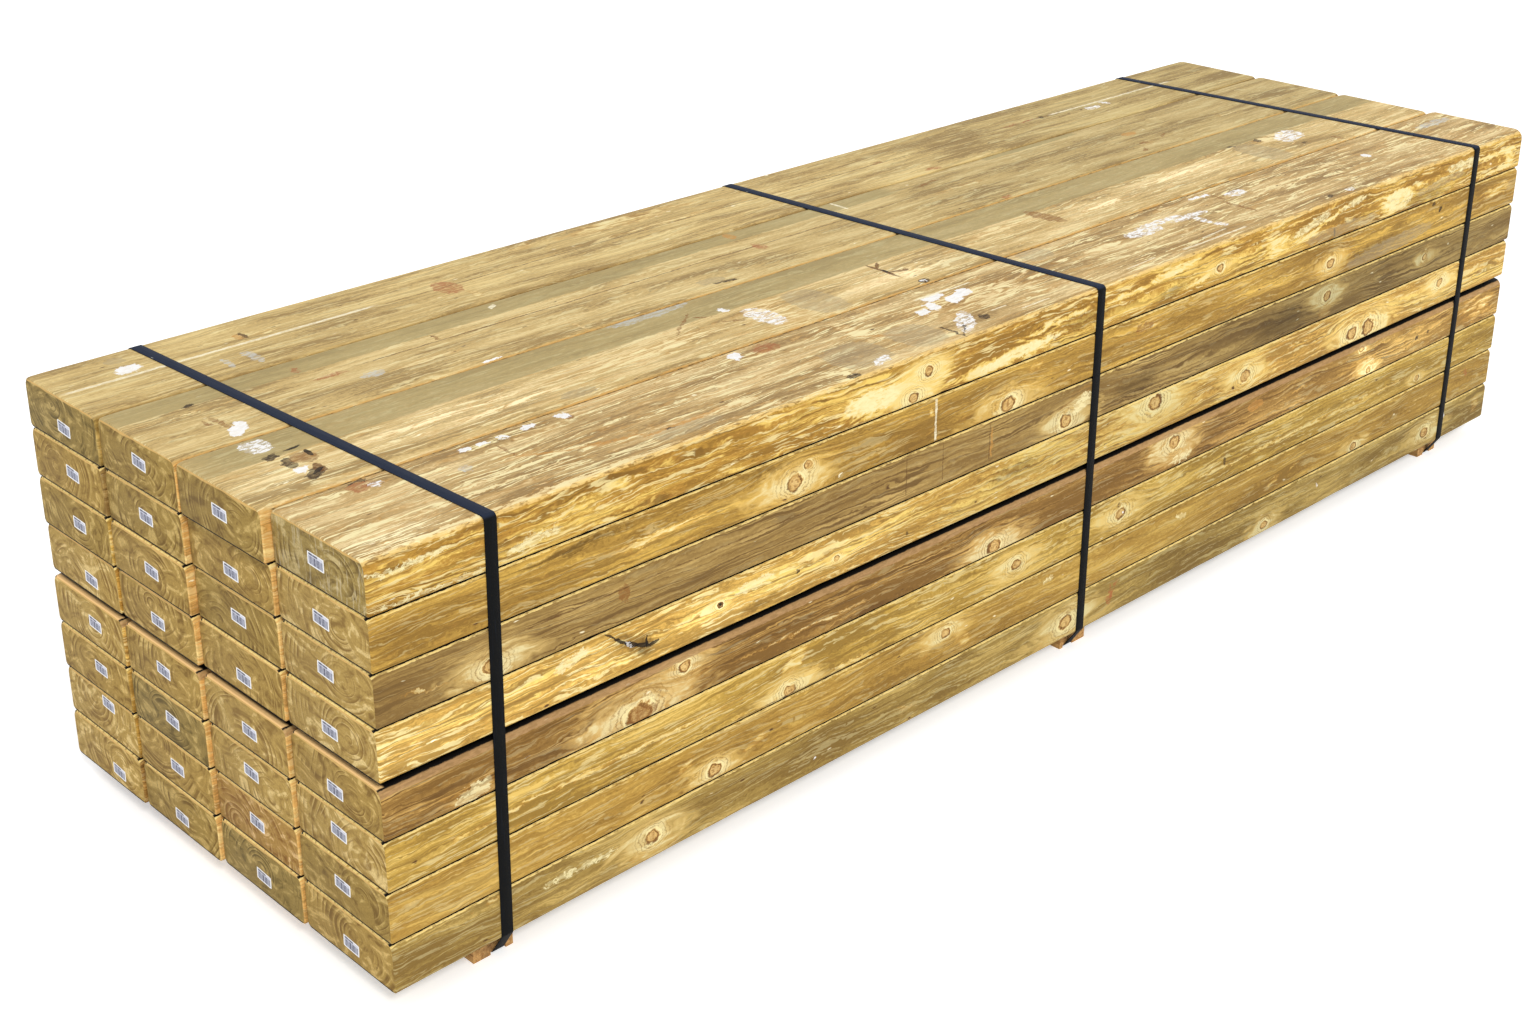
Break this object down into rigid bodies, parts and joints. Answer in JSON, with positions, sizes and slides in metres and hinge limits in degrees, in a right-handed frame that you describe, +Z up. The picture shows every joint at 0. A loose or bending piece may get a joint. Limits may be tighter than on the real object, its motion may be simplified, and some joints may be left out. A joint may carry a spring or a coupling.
{
  "type": "bundle of timber sleepers",
  "caption": "Rectangular bundle of planed and treated softwood sleepers in layers on three timber bearers, held by black straps.",
  "frame": {"origin": "middle of the bundle's footprint, on the surface that the bearers stand on", "axes": "+X along the sleepers, away from the labelled end; +Y across the bundle, away from the long side that the picture shows; +Z up"},
  "size_m": [2.7163, 0.8094, 0.6442],
  "materials": {
    "sleeper_timber": "planed, treated softwood",
    "rough_timber": "rough sawn softwood",
    "strap": "black polyester strapping",
    "label": "plain printed paper label"
  },
  "bodies": {
    "root": {"sleepers_layer_1": "sleeper_timber", "sleepers_layer_2": "sleeper_timber", "sleepers_layer_3": "sleeper_timber", "sleepers_layer_4": "sleeper_timber", "sleepers_layer_5": "sleeper_timber", "sleepers_layer_6": "sleeper_timber", "sleepers_layer_7": "sleeper_timber", "sleepers_layer_8": "sleeper_timber", "bearer_near": "rough_timber", "bearer_middle": "rough_timber", "bearer_far": "rough_timber", "separator_near": "rough_timber", "separator_middle": "rough_timber", "separator_far": "rough_timber", "strap_near": "strap", "strap_middle": "strap", "strap_far": "strap", "end_labels": "label"}
  },
  "joints": []
}
